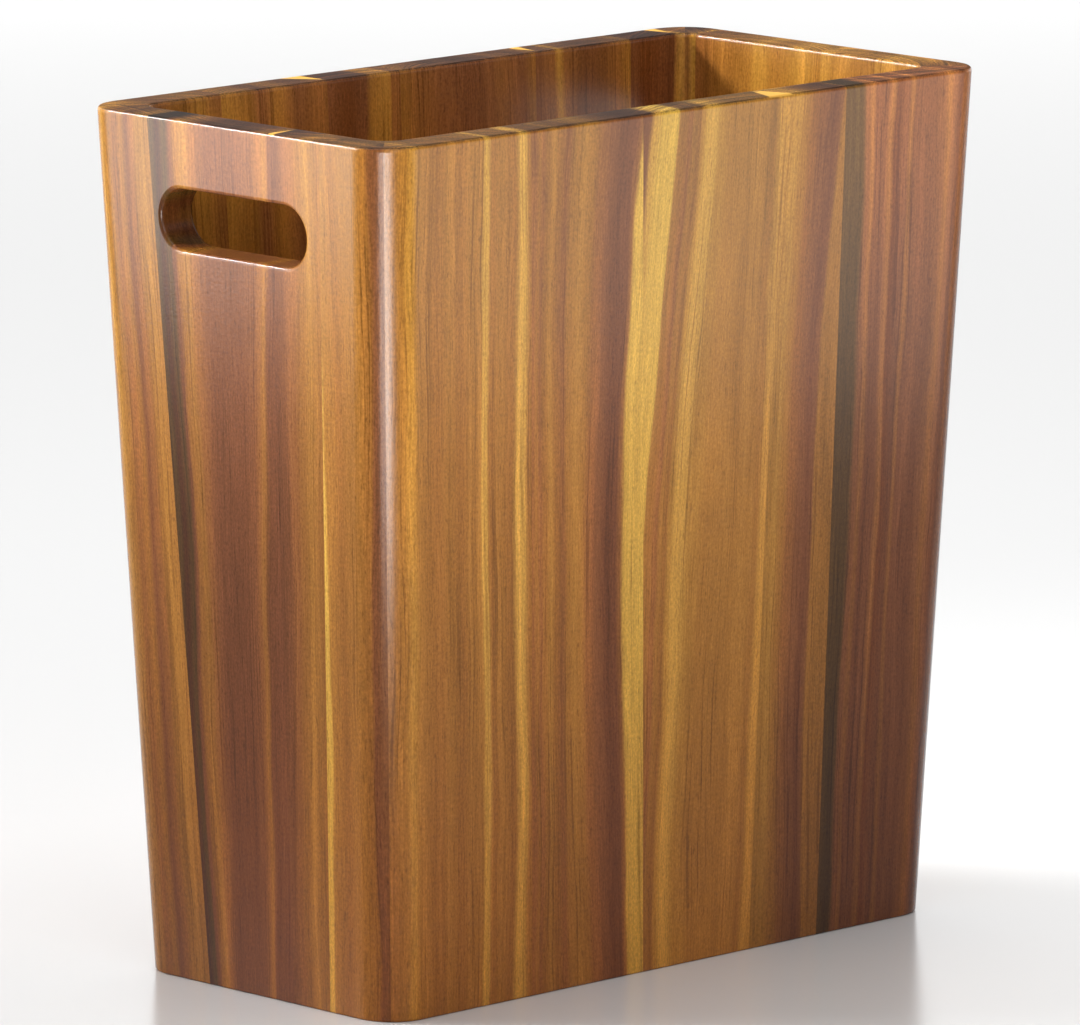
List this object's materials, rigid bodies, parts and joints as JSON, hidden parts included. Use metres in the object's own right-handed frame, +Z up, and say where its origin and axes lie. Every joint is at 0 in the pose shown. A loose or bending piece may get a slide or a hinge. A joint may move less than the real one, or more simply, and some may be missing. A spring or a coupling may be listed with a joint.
{
  "type": "wastebasket",
  "caption": "Slim tapered wooden wastebasket, open at the top, with mitred stave walls, rounded corners and a hand hole through each end.",
  "frame": {"origin": "on the ground, at the middle of the base", "axes": "+X along the long walls, away from the end that the reference view shows; +Y across, from front to back; +Z up"},
  "size_m": [0.3098, 0.1598, 0.32],
  "materials": {
    "golden_stave": "satin lacquer over golden acacia, upright grain",
    "brown_stave": "satin lacquer over red-brown acacia, upright grain",
    "floor_board": "satin lacquer over acacia, grain along the length",
    "spline": "raw hardwood, hidden in the mitres"
  },
  "bodies": {
    "root": {"front_stave_1": "golden_stave", "front_stave_2": "golden_stave", "front_stave_3": "golden_stave", "front_stave_4": "golden_stave", "front_stave_5": "brown_stave", "back_stave_1": "brown_stave", "back_stave_2": "golden_stave", "back_stave_3": "brown_stave", "back_stave_4": "golden_stave", "back_stave_5": "golden_stave", "back_stave_6": "brown_stave", "left_stave_1": "golden_stave", "left_stave_2": "golden_stave", "left_stave_3": "brown_stave", "left_stave_4": "golden_stave", "right_stave_1": "golden_stave", "right_stave_2": "brown_stave", "right_stave_3": "golden_stave", "floor_board_1": "floor_board", "floor_board_2": "floor_board", "floor_board_3": "floor_board", "mitre_spline_front_left": "spline", "mitre_spline_front_right": "spline", "mitre_spline_back_left": "spline", "mitre_spline_back_right": "spline"}
  },
  "joints": []
}
